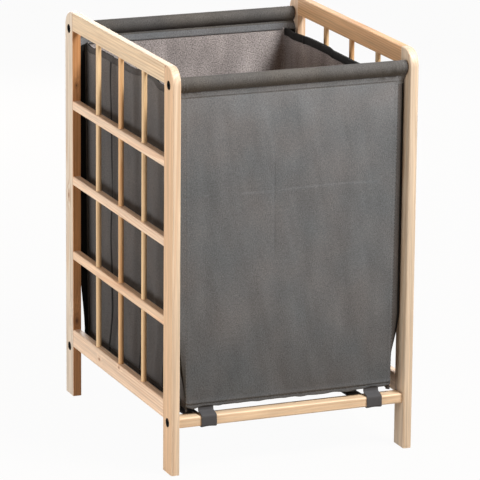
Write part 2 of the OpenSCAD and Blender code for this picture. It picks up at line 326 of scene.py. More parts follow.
def lacquered_pine(name, grain, pith, spring, summer, tilt, knots=(), painted_face=None):
    """Planed pine under clear lacquer: fine stripes, faint fibres and a soft satin light on its edges.
    Rings are a saw-tooth of the distance from the pith, and a knot is a ball of brown that they bend
    round. painted_face is an axis, where a face's painted shade starts and is full, and the tone it
    multiplies by."""
    material, tree = start_material(name)
    place = add(tree, "TexCoord").outputs["Object"]
    bent, eyes = round_knots(tree, place, grain, knots)
    turned = [a + b for a, b in zip(ALONG[grain], tilt)]
    inputs = {0: bent, 1: [side * MM for side in pith], 2: turned, 3: (1, 1, GRAIN_STRETCH)}
    log = add(tree, "Mapping", inputs, vector_type="TEXTURE").outputs[0]
    rings = add(tree, "TexWave", {0: log, "Scale": WAVE_TURN / (RING_PITCH * MM), **RING_WANDER},
                wave_type="RINGS", rings_direction="Z", wave_profile="SAW")
    stripes = add(tree, "ValToRGB", {0: rings.outputs[1]},
                  stops=((0.0, summer), (0.14, spring), (0.45, spring), (0.92, summer)))
    patches = add(tree, "TexNoise", {0: log, "Scale": RING_PATCHES, "Detail": 2.0}).outputs[0]
    contrast = add(tree, "MapRange", {0: patches, 1: NOISE_LOW, 2: NOISE_HIGH, 3: 0.10, 4: 0.75})
    wood = add(tree, "Mix", {0: contrast.outputs[0], 6: linear(spring), 7: stripes.outputs[0]},
               data_type="RGBA").outputs[2]
    fibres = stretched_mottle(tree, log, FIBRES)
    wood = shaded_by(tree, wood, fibres, 0.83, 1.08)
    wood = shaded_by(tree, wood, stretched_mottle(tree, log, STREAKS, detail=3.0), 0.80, 1.07)
    if painted_face:
        axis, starts, full, tone = painted_face
        across = add(tree, "SeparateXYZ", {0: place}).outputs[axis]
        inside = add(tree, "MapRange", {0: across, 1: starts * MM, 2: full * MM})
        wood = add(tree, "Mix", {0: inside.outputs[0], 6: wood, 7: linear(tone)}, data_type="RGBA",
                   blend_type="MULTIPLY").outputs[2]
    for eye in eyes:
        covers = add(tree, "ValToRGB", {0: eye}, stops=KNOT_COVERS)
        brown = add(tree, "ValToRGB", {0: eye}, stops=KNOT_BROWNS)
        wood = add(tree, "Mix", {0: covers.outputs[0], 6: wood, 7: brown.outputs[0]},
                   data_type="RGBA").outputs[2]
    gloss = add(tree, "MapRange", {0: fibres, 3: 0.42, 4: 0.56})
    return finish_material(material, wood, gloss.outputs[0], (fibres, 0.12, 0.25))


# %% Pine on every stick
TREES = np.random.default_rng(11)
# millimetres from the pith to a stick's middle, and radians that the stick is turned off the tree's axis
PITH_AWAY = (25, 60)
OFF_AXIS = 0.02
# knots of each stick: the middle in millimetres and the radius
KNOTS = {
    "left_rear_post": [((-190, 209.5, 315), 6.5), ((-184, 191, 489), 5.0), ((-184, 191, 120), 11.0)],
    "left_bottom_rail": [((-190, 76, 91.5), 4.5), ((-190, -8, 102), 4.0)],
    "left_front_post": [((-190, -196, 599), 3.0)],
    "right_rear_post": [((177, 203.5, 574), 3.6), ((190, 212, 262), 3.8)],
    "right_front_post": [((177, -197, 210), 2.2)],
    "right_bottom_rail": [((190, 110, 90), 3.2)],
    "right_top_rail": [((190, -64, 590), 3.4)],
}
# tones of spring wood and summer wood
FRAME_TONES = (("F7D9B9", "D5A478"), ("F6D4B1", "D0986A"), ("F8DCBF", "DBAC84"))
# tones of single sticks: the right top rail's deep orange is painted shade for its shaded inner face, and
# the right front post is made duller as painted shade against the key light on it
STICK_TONES_AND_SHADE = {"left_rear_post": ("E9DBC8", "CFB192"), "right_front_post": ("E5D2B9", "D3B290"),
               "left_front_post": ("F0D8BB", "D8B08A"), "front_cross_rail": ("F5D9B6", "E0B890"),
               "right_top_rail": ("E9BC8C", "BC8450"), "left_top_rail": ("EED6B4", "CDA77C")}
SPINDLE_TONES = {"front": ("F0D0A2", "DDAE76"), "middle": ("E4B885", "CC9058"),
                 "rear": ("EFCFA2", "D8A66C")}
# painted shade on one face of a post: the axis, where it starts and where it is full, and its tone
PAINTED_FACE_TONES = {"left_rear_post": ("Y", 193, 191, "DDAB7C"),
             "left_front_post": ("X", -189, -190, "F4E6D5")}


def cut_from_tree(node, tones):
    """Pine for one stick: its longest side gives the grain, and its place in the tree is drawn by lot."""
    low, high = span(node)
    grain = "XYZ"[int(np.argmax(high - low))]
    angle = TREES.uniform(0, 2 * np.pi)
    away = TREES.uniform(*PITH_AWAY)
    off = np.insert([np.cos(angle), np.sin(angle)], "XYZ".index(grain), 0)
    pith = (low + high) / 2 + off * away
    tilt = TREES.uniform(-OFF_AXIS, OFF_AXIS, 3)
    return lacquered_pine("lacquered_pine_" + node, grain, pith, *tones, tilt, KNOTS.get(node, ()),
                          PAINTED_FACE_TONES.get(node))


def dress(node, material):
    """Gives a CAD node one finish."""
    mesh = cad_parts[node].data
    mesh.materials.clear()
    mesh.materials.append(material)


sticks = [name for name in sorted(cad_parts) if name.endswith(("_post", "_rail", "_rod"))]
for number, name in enumerate(sticks):
    dress(name, cut_from_tree(name, STICK_TONES_AND_SHADE.get(name, FRAME_TONES[number % len(FRAME_TONES)])))
spindles = [name for name in sorted(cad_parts) if name.endswith("_spindle")]
for name in spindles:
    dress(name, cut_from_tree(name, SPINDLE_TONES[name.split("_")[1]]))
print(len(sticks), "sticks and", len(spindles), "spindles cut from pine")

# %% [markdown]
# ## Beech, black steel and zinc
#
# The fluted glue dowels are plain beech and stay hidden in the joints. The bolts are black-oxide
# steel with a satin face. The threaded inserts that they run into are zinc-plated steel.


# %% Small fittings
# patterns per metre: flecks 3 mm long and 0.4 mm wide, and a grain of 0.4 mm on the plating
BEECH_FLECKS = (300, 2500, 2500)
PLATING_GRAIN = 2500.0


def turned_beech(name):
    """Beech dowel rod: even tan wood with short darker flecks, no gloss to speak of."""
    material, tree = start_material(name)
    flecks = stretched_mottle(tree, add(tree, "TexCoord").outputs["Object"], BEECH_FLECKS)
    tone = add(tree, "ValToRGB", {0: flecks}, stops=((0.35, "CFA478"), (0.7, "B98456")))
    return finish_material(material, tone.outputs[0], 0.7, (flecks, 0.1, 0.2))


def plated_steel(name, dark, light, metallic, roughness):
    """Plated or blackened steel: a close tumbled grain that breaks up its gloss."""
    material, tree = start_material(name)
    place = add(tree, "TexCoord").outputs["Object"]
    grain = add(tree, "TexNoise", {0: place, "Scale": PLATING_GRAIN, "Detail": 2.0}).outputs[0]
    tone = add(tree, "ValToRGB", {0: grain}, stops=((0.35, dark), (0.7, light)))
    gloss = add(tree, "MapRange", {0: grain, 3: roughness - 0.08, 4: roughness + 0.1})
    return finish_material(material, tone.outputs[0], gloss.outputs[0], (grain, 0.05, 0.3),
                           Metallic=metallic, Specular_IOR_Level=0.02 + 0.48 * metallic)


beech = turned_beech("turned_beech")
black_steel = plated_steel("black_oxide_steel", "020202", "080808", 0.0, 0.6)
zinc = plated_steel("zinc_plated_steel", "A9ABAA", "C9CBCA", 1.0, 0.38)
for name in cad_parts:
    if name.endswith("_glue_dowels"):
        dress(name, beech)
    if name.endswith("_bolts"):
        dress(name, black_steel)
    if name.endswith("_inserts"):
        dress(name, zinc)
print("fittings dressed")

# %% [markdown]
# ## Cloth finishes
#
# The bag is charcoal polyester canvas with a soft brushed face, lined with a pale speckled
# non-woven cloth. The side walls, the seam allowances and the cloth drawn round the rods get darker
# copies of the canvas, which are painted shade. Every wall also carries painted shade that deepens
# towards its hem, and dark painted shade lies along the creases of the packing and beside the corner
# seams. Rims and the edges of the allowances are bound with black tape, which at the allowances also
# stands in for the shade beside the posts, and the straps are polypropylene webbing. All of them read
# the piece's own UV map, which holds metres of flat cloth, so that the weave follows every fold.


# %% Plain weave
THREAD_WANDER = {"Distortion": 0.6, "Detail": 1.0, "Detail Scale": 0.5}


def crossing_threads(tree, cloth, pitch):
    """Height of a plain weave from two sets of bands, one each way, pitch millimetres apart."""
    waves = []
    for way in ("X", "Y"):
        wave = add(tree, "TexWave", {0: cloth, "Scale": WAVE_TURN / (pitch * MM), **THREAD_WANDER},
                   wave_type="BANDS", bands_direction=way, wave_profile="SIN")
        waves.append(wave.outputs[1])
    return add(tree, "Math", dict(enumerate(waves)), operation="MULTIPLY").outputs[0]


# %% Brushed canvas
# real canvas threads are 0.5 mm apart and would be lost, so they are drawn three times as coarse
CANVAS_THREADS = 1.5
# patterns per metre of canvas: slubs 1.5 mm wide and 5 mm tall, specks of nap 1.6 mm, cloudy wear
# 33 mm wide and 77 mm tall, and patches of warm and cool 90 mm across
SLUBS = (650, 200, 1)
NAP = 620.0
WEAR = (30, 13, 1)
HUES = 11.0
# metres up from the hem, and the tone that the canvas is multiplied by there: painted shade that deepens
# towards the hem
PAINTED_SHADE_TOWARDS_HEM = ((0.01, "CECECE"), (0.075, "D4D4D4"), (0.14, "E3E3E3"), (0.335, "E7E7E7"),
                 (0.40, "EFEFEF"), (0.45, "FFFFFF"))
# how dark the painted shade along the creases and beside the corner seams makes the canvas
CREASE_SHADE_TONE = 0.14


def brushed_canvas(name, warm, cool):
    """Brushed polyester canvas: a dull weave with a speckled nap, upright slubs and cloudy wear, which
    drifts from a warm grey to a cool one. It carries painted shade that deepens towards its hem, and
    dark painted shade where the mesh's painted_crease_shade value says so."""
    material, tree = start_material(name)
    cloth = add(tree, "UVMap", uv_map="cloth").outputs[0]
    weave = crossing_threads(tree, cloth, CANVAS_THREADS)
    slubs = stretched_mottle(tree, cloth, SLUBS, detail=3.0)
    nap = add(tree, "TexNoise", {0: cloth, "Scale": NAP, "Detail": 2.0}).outputs[0]
    wear = stretched_mottle(tree, cloth, WEAR, detail=3.0)
    patches = add(tree, "TexNoise", {0: cloth, "Scale": HUES, "Detail": 2.0}).outputs[0]
    hue = add(tree, "MapRange", {0: patches, 1: 0.35, 2: 0.65}).outputs[0]
    colour = add(tree, "Mix", {0: hue, 6: linear(warm), 7: linear(cool)}, data_type="RGBA").outputs[2]
    colour = shaded_by(tree, colour, slubs, 0.86, 1.12)
    colour = shaded_by(tree, colour, nap, 0.74, 1.24)
    colour = shaded_by(tree, colour, wear, 0.88, 1.09)
    colour = shaded_by(tree, colour, weave, 0.94, 1.04)
    # painted shade: the canvas gets darker from the top of a wall down to its hem
    up = add(tree, "SeparateXYZ", {0: cloth}).outputs["Y"]
    painted_shade = add(tree, "ValToRGB", {0: up}, stops=PAINTED_SHADE_TOWARDS_HEM).outputs[0]
    colour = add(tree, "Mix", {0: 1.0, 6: colour, 7: painted_shade}, data_type="RGBA",
                 blend_type="MULTIPLY").outputs[2]
    # painted shade along creases and beside seams, read from a value stored on each wall's mesh
    crease_shade = add(tree, "Attribute", attribute_name="painted_crease_shade").outputs["Fac"]
    colour = shaded_by(tree, colour, crease_shade, 1.0, CREASE_SHADE_TONE)
    height = add(tree, "Math", {0: slubs, 1: 0.6, 2: weave}, operation="MULTIPLY_ADD").outputs[0]
    return finish_material(material, colour, 0.88, (height, 0.25, 0.35), Specular_IOR_Level=0.12)


canvas = brushed_canvas("brushed_polyester_canvas", "7C7C7D", "767A7D")
# darker copies of the canvas, which are painted shade: one for the cloth drawn round the rods, one for
# the side walls, the end walls' allowances and the rims' outer legs
shaded_sleeve_canvas = brushed_canvas("brushed_canvas_painted_shade_on_rod", "625F5B", "5D5C5B")
shaded_side_canvas = brushed_canvas("brushed_canvas_painted_shade", "6A6664", "666565")
print("canvas threads drawn", CANVAS_THREADS, "mm apart")


# %% Lining
# patterns per metre of lining: specks 2 mm across, and upright clouds of tone 38 mm wide and 110 mm
# tall, which partly stand in for the painted shade of soft folds
SPECKS = 520.0
LINING_CLOUDS_AND_FOLD_SHADE = (26, 9, 1)


def speckled_lining(name, tone):
    """Needled non-woven polyester: pale and dark fibre specks about 2 mm across and upright clouds of
    tone that partly stand in for the painted shade of soft folds, quite matt.
    """
    material, tree = start_material(name)
    cloth = add(tree, "UVMap", uv_map="cloth").outputs[0]
    specks = add(tree, "TexNoise", {0: cloth, "Scale": SPECKS, "Detail": 2.0}).outputs[0]
    colour = shaded_by(tree, linear(tone), specks, 0.50, 1.50)
    colour = shaded_by(tree, colour, stretched_mottle(tree, cloth, LINING_CLOUDS_AND_FOLD_SHADE), 0.72, 1.22)
    return finish_material(material, colour, 0.92, (specks, 0.4, 0.4), Specular_IOR_Level=0.1)


lining_cloth = speckled_lining("speckled_nonwoven_lining", "A09997")
print("lining specks drawn", round(1000 / SPECKS, 1), "mm across")


# %% Tape, webbing and thread
THREAD_TWIST = 2200.0


def woven_tape(name, tone, rib):
    """Woven tape or webbing: close ribs across its width, rib millimetres apart, with a faint sheen."""
    material, tree = start_material(name)
    ribs = crossing_threads(tree, add(tree, "UVMap", uv_map="cloth").outputs[0], rib)
    colour = shaded_by(tree, linear(tone), ribs, 0.84, 1.12)
    return finish_material(material, colour, 0.75, (ribs, 0.3, 0.5), Specular_IOR_Level=0.2)


def spun_thread(name, tone):
    """Polyester sewing thread: a smooth cord with a slight gloss, its twist drawn as fine noise."""
    material, tree = start_material(name)
    place = add(tree, "TexCoord").outputs["Object"]
    twist = add(tree, "TexNoise", {0: place, "Scale": THREAD_TWIST, "Detail": 1.0}).outputs[0]
    colour = shaded_by(tree, linear(tone), twist, 0.85, 1.15)
    return finish_material(material, colour, 0.6, (twist, 0.1, 0.3))


black_tape = woven_tape("black_binding_tape", "181614", 1.2)
webbing = woven_tape("charcoal_webbing", "525254", 1.8)
thread = spun_thread("grey_thread", "767573")
print("tape, webbing and thread ready")

# %% [markdown]
# ## Sheets from numpy grids
#
# A piece of cloth is a function of two lengths: how far across the flat cut and how far along it.
# The function gives a point in space for every pair, and one helper joins the grid of points into
# a mesh. The same two lengths become its UV map, and a Solidify modifier gives the cloth its
# thickness. Lengths are in millimetres until the mesh is made.


# %% Curves
def smooth_step(low, high, value):
    """0 below low, 1 above high, and 3t^2 - 2t^3 between them."""
    t = np.clip((value - low) / (high - low), 0, 1)
    return t * t * (3 - 2 * t)


def window(value, starts, full, fades, ends):
    """Rises from 0 to 1 between starts and full, and falls back to 0 between fades and ends."""
    return smooth_step(starts, full, value) * (1 - smooth_step(fades, ends, value))


def hump(value, where, wide):
    """A soft ridge: 1 at where, falling off as exp(-(distance / wide)^2)."""
    return np.exp(-((value - where) / wide) ** 2)


def valley(value, where, wide):
    """A sharp crease: 1 at where, falling off as exp(-distance / wide)."""
    return np.exp(-np.abs(value - where) / wide)


WAVES = 14


def ripples(u, v, seed, wide, tall):
    """Soft seeded noise of about -1 to 1: a sum of cosines whose waves are about wide by tall."""
    rng = np.random.default_rng(seed)
    total = np.zeros(np.broadcast(u, v).shape)
    for along_u, along_v, phase in rng.normal(0, 1, (WAVES, 3)):
        total += np.cos(2 * np.pi * (along_u * u / wide + along_v * v / tall + phase))
    return total * np.sqrt(1 / WAVES)


def crumpled(u, v, folds):
    """A sum of ripples, each given as its height, its seed, and how wide and how tall its waves are."""
    return sum(height * ripples(u, v, seed, wide, tall) for height, seed, wide, tall in folds)


def unit(vectors):
    """The same directions with length 1."""
    return vectors / np.linalg.norm(vectors, axis=-1, keepdims=True)


def lengths(points):
    """Distance along a run of points from its first one."""
    steps = np.linalg.norm(np.diff(points, axis=0), axis=1)
    return np.concatenate([[0], np.cumsum(steps)])


def closer(places, reach):
    """Grid lines 1 mm apart, out to reach on both sides of each place."""
    return np.concatenate([np.arange(place - reach, place + reach + 0.5, 1.0) for place in places])


# %% Meshes
def new_piece(name, points, faces, material):
    """A smooth mesh through points given in millimetres, carried by the frame."""
    mesh = bpy.data.meshes.new(name)
    mesh.from_pydata((points.reshape(-1, 3) * MM).tolist(), [], faces)
    mesh.materials.append(material)
    mesh.shade_smooth()
    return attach(put_in_scene(name, mesh), "root")


def sheet_mesh(name, points, cut, material, wrap=False, thick=0.0):
    """A sheet through a grid of points, each joined to the next along both axes. cut holds the flat
    lengths down the rows and across the columns. wrap joins the last column to the first."""
    rows, columns = points.shape[:2]
    spans = columns if wrap else columns - 1
    i, j = np.meshgrid(np.arange(rows - 1), np.arange(spans), indexing="ij")
    corner_i = np.stack([i, i, i + 1, i + 1], -1).reshape(-1, 4)
    corner_j = np.stack([j, j + 1, j + 1, j], -1).reshape(-1, 4)
    faces = corner_i * columns + corner_j % columns
    made = new_piece(name, points, faces.tolist(), material)
    uv = np.stack([cut[1][corner_j], cut[0][corner_i]], -1) * MM
    made.data.uv_layers.new(name="cloth").data.foreach_set("uv", uv.ravel().astype(np.float32))
    if thick:
        solid = made.modifiers.new("thickness", "SOLIDIFY")
        solid.thickness = thick * MM
        solid.offset = 0
    print(name, "has", len(faces), "faces")
    return made


def paint_faces(made, extra, numbers):
    """Adds more materials to a sheet and says which one each face has, 0 being the sheet's first."""
    for material in extra:
        made.data.materials.append(material)
    made.data.polygons.foreach_set("material_index", numbers.ravel().astype(np.int32))


def paint_crease_shade(made, amount):
    """Stores, for every point of a sheet, how much painted shade of a crease or a seam it gets, from 0 to
    1.
    """
    nap = made.data.attributes.new("painted_crease_shade", "FLOAT", "POINT")
    nap.data.foreach_set("value", amount.ravel().astype(np.float32))


# %% [markdown]
# ## How the bag hangs
#
# Every layer of the bag, outside and inside, is first laid out as if it were a flat-sided box. One
# function then settles them all in the same way, so that the layers keep their distance from each
# other: it narrows the bag towards the base, lets the walls belly and crease, waves the rims of the
# side walls and lets the base sag.

# %% Sizes of the bag
SIDES = (("left", -1), ("right", 1))
# the middles of the walls' cloth, and how far out the end walls' allowances are cut
WALL_X = middle("bag_right_panel")[0]
WALL_Y = middle("bag_rear_panel")[1]
CUT_X = span("rear_rod_sleeve")[1][0]
# heights of the bottom hem, the base, the stitched band's foot, the side rims and the sleeves' crease
HEM_Z = span("bag_rear_panel")[0][2] - 0.5
BASE_Z = middle("bag_base")[2]
BAND_Z = span("bag_rear_panel")[1][2]
RIM_Z = span("right_top_hem")[1][2]
CREASE_Z = ROD_Z - 12.2
CANVAS_T = 0.9
# packing creases: one across and one upright in each end wall, three upright in each side wall
PRESSED_Z = 406.5
PRESSED_X = -26.5
CREASE_Y = (115, -13, -109)
print("bag walls, x, y, foot and rim in mm:", [round(at, 1) for at in (WALL_X, WALL_Y, HEM_Z, RIM_Z)])


# %% Height and width
WIDER_RIM = 5.0


def level_up(z, top):
    """Share of the way up from the base to top, from 0 to 1."""
    return np.clip((z - BASE_Z) / (top - BASE_Z), 0, 1)


def half_width(z):
    """Half the bag's width at its corner seams, which widens evenly from the base to the rim."""
    return WALL_X - 1 + WIDER_RIM * level_up(z, RIM_Z)


print("the bag widens from", round(2 * half_width(BASE_Z)), "to", round(2 * half_width(RIM_Z)), "mm")


# %% How an end wall stands out
# how far it bellies out, and how deep its gather, its hollow and its creases are
END_BELLY = 3.2
GATHER = 1.2
HOLLOW = 1.6
ACROSS_CREASE, UPRIGHT_CREASE, SLANT_CREASE = 0.45, 1.1, 0.8
# soft folds: how far each stands out, its seed, and how wide and how tall its waves are
END_FOLDS = ((0.8, 5, 60, 260), (0.35, 6, 22, 120))
REAR_FOLDS = ((1.4, 9, 50, 260),)


def end_creases(x, z):
    """Packing creases of an end wall: one across, steep above and soft below, an upright and a slant."""
    inner = 1 - smooth_step(128, 148, np.abs(x))
    pressed = smooth_step(-1.5, 0.2, ripples(x, z, 4, 70, 900)) * inner
    over = z - PRESSED_Z - 1.2 * np.sin(x / 31)
    across = ACROSS_CREASE * pressed * hump(over, 0, np.where(over > 0, 1.5, 14.0))
    upright = UPRIGHT_CREASE * valley(x, PRESSED_X, 1.8) * window(z, 300, 330, 440, 470)
    slant = SLANT_CREASE * valley(z, 306 - 0.93 * (x + 152), 2.5) * (1 - smooth_step(-128, -112, x))
    return across - upright + slant


def end_swell(x, z, end):
    """How far an end wall stands out: a low belly, soft folds, a gather under the band and a hollow."""
    x = x * -end
    level = level_up(z, BAND_Z)
    belly = END_BELLY * np.sin(np.pi * level ** 0.55) * (1 - (x / 165) ** 2)
    folds = crumpled(x, z, END_FOLDS)
    if end > 0:
        folds = folds + crumpled(x, z, REAR_FOLDS) * level
    folds = folds * (1 - smooth_step(105, 150, np.abs(x)))
    spread = 1 - level
    gather = GATHER * window(level, 0.5, 0.95, 0.95, 1.0) * hump(x, -8 - 20 * spread, 9 + 60 * spread)
    hollow = HOLLOW * hump(x, -133, 17) * np.sin(np.pi * level)
    held = window(level, 0, 0.06, 0.9, 1.0)
    return belly + held * (folds - gather - hollow + end_creases(x, z))


print("the middle of the front wall stands out", round(float(end_swell(0, 300, -1)), 1), "mm")


# %% How a side wall stands out
# how far it bows in at the foot, how much more at the rim, and how deep and wide its creases are
SIDE_BOW, BOW_AT_RIM = 3.5, 2.5
CREASE_DEEP = (1.8, 1.2, 1.2)
CREASE_WIDE = 1.6
# soft folds of the left wall, -1, and of the right wall, 1, given as for an end wall
SIDE_FOLDS = {
    -1: ((1.3, 20, 90, 300), (0.4, 30, 30, 110)),
    1: ((1.3, 22, 90, 300), (0.4, 32, 30, 110)),
}


def side_creases(y, z, wide):
    """Upright packing creases of a side wall: one over its whole height and two that run out upwards."""
    full = valley(y, CREASE_Y[0] + 1.8 * np.sin(z / 33), wide)
    lower = valley(y, CREASE_Y[1] + 1.4 * np.sin(z / 27), wide) * (1 - smooth_step(330, 350, z))
    foot = valley(y, CREASE_Y[2] + 1.6 * np.sin(z / 40), wide) * (1 - smooth_step(400, 430, z))
    return full, lower, foot


def side_swell(y, z, side):
    """How far a side wall stands out: it hangs a little inwards between sharp upright packing creases."""
    level = level_up(z, RIM_Z)
    inner = 1 - smooth_step(150, 198, np.abs(y))
    bow = (SIDE_BOW + BOW_AT_RIM * level) * smooth_step(0, 0.15, level) * inner
    folds = crumpled(y, z, SIDE_FOLDS[side]) * inner
    if side > 0:
        folds = folds * (1 - 0.75 * smooth_step(0.75, 1.0, level))
    creases = sum(deep * cut for deep, cut in zip(CREASE_DEEP, side_creases(y, z, CREASE_WIDE)))
    slant = valley(z, 300 + 0.45 * y, 3.0) * window(y, -40, 10, 60, 90)
    return folds - bow - creases - slant


print("a side wall bows in by up to", SIDE_BOW + BOW_AT_RIM, "mm")


# %% Settling
BASE_SAG = 5.0
# where the free rims hang, and the y of the left one's crest
RIGHT_RIM, LEFT_RIM = 557.5, 547.8
CREST_Y = -52
# distances from the middle between which points come to belong to an end wall or a side wall, and
# between which a wall's swell dies away towards its corners
AT_END, AT_SIDE = (120, 200), (80, 150)
CORNER_Y, CORNER_X = (185, 204), (128, 150)


def rim_wave(y, side):
    """Rise and fall of a side wall's rim, which hangs free between the two rods."""
    if side > 0:
        return RIGHT_RIM - RIM_Z - 6 * smooth_step(60, 200, y) - 2.2 * smooth_step(20, 4, y)
    crest = 11 * hump(y, CREST_Y, np.where(y > CREST_Y, 50, 26))
    return LEFT_RIM - RIM_Z + crest - 1.5 * smooth_step(150, 190, y)


def settle(points):
    """Moves the points of a flat-sided bag to where the hanging cloth has them."""
    x, y, z = points[..., 0], points[..., 1], points[..., 2]
    level = level_up(z, RIM_Z)
    at_end = smooth_step(*AT_END, np.abs(y))
    at_side = smooth_step(*AT_SIDE, np.abs(x))
    width = half_width(z)
    beyond = width + (np.abs(x) - WALL_X) * (CUT_X - width) / (CUT_X - WALL_X)
    new_x = np.where(np.abs(x) < WALL_X, x * width / WALL_X, np.sign(x) * beyond)
    fade_y = 1 - smooth_step(*CORNER_Y, np.abs(y))
    side_out = np.where(x > 0, side_swell(y, z, 1), side_swell(y, z, -1))
    new_x = new_x + np.sign(x) * at_side * fade_y * side_out * smooth_step(0, 0.05, level)
    fade_x = 1 - smooth_step(*CORNER_X, np.abs(x))
    end_out = np.where(y > 0, end_swell(x, z, 1), end_swell(x, z, -1))
    new_y = y + np.sign(y) * at_end * fade_x * end_out
    wave = np.where(x > 0, rim_wave(y, 1), rim_wave(y, -1))
    sag = BASE_SAG * (1 - level) ** 6 * (1 - (x / WALL_X) ** 2) * (1 - (y / WALL_Y) ** 2)
    inside = (np.abs(x) < WALL_X) & (np.abs(y) < WALL_Y - 2)
    new_z = z + at_side * fade_y * wave * level ** 5 - np.where(inside, sag, 0)
    return np.stack([new_x, new_y, new_z], -1)


print("the middle of the base sags", BASE_SAG, "mm")


# %% [markdown]
# ## End walls with their rod sleeves
#
# Each end wall is one sheet, 352 mm wide. It starts at the bottom hem, goes up, turns round the rod
# as a teardrop, comes back down inside and is sewn to itself, which makes the sleeve and the
# stitched band under it. At both sides it runs on past the corner seam as an allowance that stands
# out and curls back, and whose edge is bound with black tape that also stands in for the shade
# beside the posts. The allowance and the cloth on the rod get darker copies of the canvas, which
# are painted shade.

# %% Profile of an end wall
# gap from the rod's surface to the middle of the cloth, over it and beside it
OVER_ROD = 1.1
BESIDE_ROD = 1.3
# the teardrop starts and ends this far, in radians, from its point
POINT_OPEN = 0.12


def end_profile():
    """Distance out and height along the sheet. The sleeve is the teardrop x = a sin t sqrt(sin(t/2)),
    z = -h cos t."""
    tall = (ROD_Z + ROD_R + OVER_ROD - CREASE_Z) / 2
    wide = 1.12 * (ROD_R + BESIDE_ROD)
    t = np.linspace(POINT_OPEN, 2 * np.pi - POINT_OPEN, 90)
    bulge = wide * np.sin(t) * np.sqrt(np.sin(t / 2))
    loop = np.stack([WALL_Y + bulge, CREASE_Z + tall * (1 - np.cos(t))], 1)
    outside = np.stack([np.full(80, WALL_Y), np.linspace(HEM_Z, CREASE_Z - 1.5, 80)], 1)
    inside = np.array([[WALL_Y - 1.9, CREASE_Z - 2], [WALL_Y - 2.1, BAND_Z - 1]])
    return np.concatenate([outside, loop, inside])


def along_at(z):
    """Distance from the hem at which the outer layer of a wall is at height z."""
    return z - HEM_Z


END_PROFILE = end_profile()
END_LENGTHS = lengths(END_PROFILE)
END_CUT = END_LENGTHS[-1]
SLEEVE_TOP = END_LENGTHS[np.argmax(END_PROFILE[:, 1])]
print("an end wall's sleeve is drawn round", round(END_CUT - along_at(CREASE_Z)), "mm of cloth")


# %% Seams, hem and allowances of an end wall
SEAM_AT = WALL_X + 3
# how far the thread draws little waves along a seam, and their length
PUCKER = 0.25
PUCKER_LONG = 10


def allowance_edge(z, end):
    """How far out a corner's seam allowance reaches: the front ones draw in most towards the bottom."""
    drawn = np.where(end < 0, CUT_X - WALL_X - 1.5, 6.0)
    return CUT_X - drawn * smooth_step(205, 95, z)


def allowance_curl(share, z, end, side):
    """How far the allowance curls back, at a share of its width from the seam: more where it draws in."""
    flat_width = CUT_X - SEAM_AT
    reach = allowance_edge(z, end) - SEAM_AT
    curl = np.where(end > 0, 9.0, np.where(side > 0, 4.5, 0.5))
    return (curl + 0.4 * np.sqrt(np.clip(flat_width ** 2 - reach ** 2, 0, None))) * share ** 1.1


def seam_stands(across, end):
    """How strongly a corner seam shows: the front left one is pulled nearly flat."""
    return np.where((across < 0) & (end < 0), 0.2, 1.0)


def seam_relief(far, z, strength):
    """A corner seam from outside: a ridge beside it, cloth pulled in along it, and puckers."""
    ridge = 1.3 * hump(far, WALL_X - 0.5, 1.5)
    pulled = 0.5 * hump(far, SEAM_AT, 1.3)
    puckers = PUCKER * np.sin(2 * np.pi * z / PUCKER_LONG) * hump(far, SEAM_AT, 5)
    return strength * (ridge - pulled) + puckers


def hem_relief(z, puffed, pinched):
    """A bottom hem from outside: it puffs out above the seam of the base and is pinched in along it."""
    return puffed * hump(z, BASE_Z + 3, 2.2) - pinched * hump(z, BASE_Z - 1, 1.3)


def hem_rise(across, z, end):
    """How far an end wall's lower edge is drawn up: by the straps near its corners and in a soft ruck."""
    far = np.abs(across)
    strap_pull = 3.0 * hump(far, 130, 14) + 3.0 * smooth_step(150, 165, far)
    rucked = 3.7 + 0.8 * ripples(across, z, 3, 70, 400) + 1.8 * hump(across * -end, -98, 16)
    return (strap_pull + rucked) * smooth_step(BASE_Z + 4, HEM_Z, z)


print("corner seams at", round(SEAM_AT), "mm, allowances cut at", round(CUT_X), "mm")


# %% Shape of an end wall
def end_wall(across, along, end):
    """Point of an end wall: across is the flat distance from its middle, along the one from its hem."""
    out = np.interp(along, END_LENGTHS, END_PROFILE[:, 0])
    z = np.interp(along, END_LENGTHS, END_PROFILE[:, 1])
    far = np.abs(across)
    sewn = 1 - smooth_step(BAND_Z + 2, CREASE_Z + 3, z)
    share = np.clip((far - SEAM_AT) / (CUT_X - SEAM_AT), 0, 1)
    edge = SEAM_AT + share * (allowance_edge(z, end) - SEAM_AT)
    x = np.sign(across) * np.where(far > SEAM_AT, edge * sewn + far * (1 - sewn), far)
    puckers = PUCKER * np.sin(2 * np.pi * across / PUCKER_LONG) * hump(z, BASE_Z - 1, 4)
    relief = seam_relief(far, z, seam_stands(across, end)) + hem_relief(z, 0.9, 0.7) + puckers
    under = CREASE_Z - z
    band = 1.2 * smooth_step(0.2, 1.6, under) * np.clip(1 - under / 10.5, 0, None)
    step = 0.5 * smooth_step(9.0, 7.6, under) - 0.4 * hump(under, 9.4, 1.2)
    tucks = np.clip(ripples(across, along, 12, 12, 60), 0, None)
    gathers = (0.3 + 0.9 * smooth_step(110, 165, far)) * tucks
    shown = band + sewn * (relief + step) + (1 - sewn) * gathers
    out = out + (along < SLEEVE_TOP) * shown - sewn * allowance_curl(share, z, end, across)
    return settle(np.stack([x, end * out, z + hem_rise(across, z, end)], -1))


def wall_rows(top):
    """Rows up a wall: 1.4 mm apart over the 14 mm of its hem and 3.4 mm apart from there to top."""
    return np.concatenate([np.arange(0, 14, 1.4), np.arange(14, top, 3.4)])


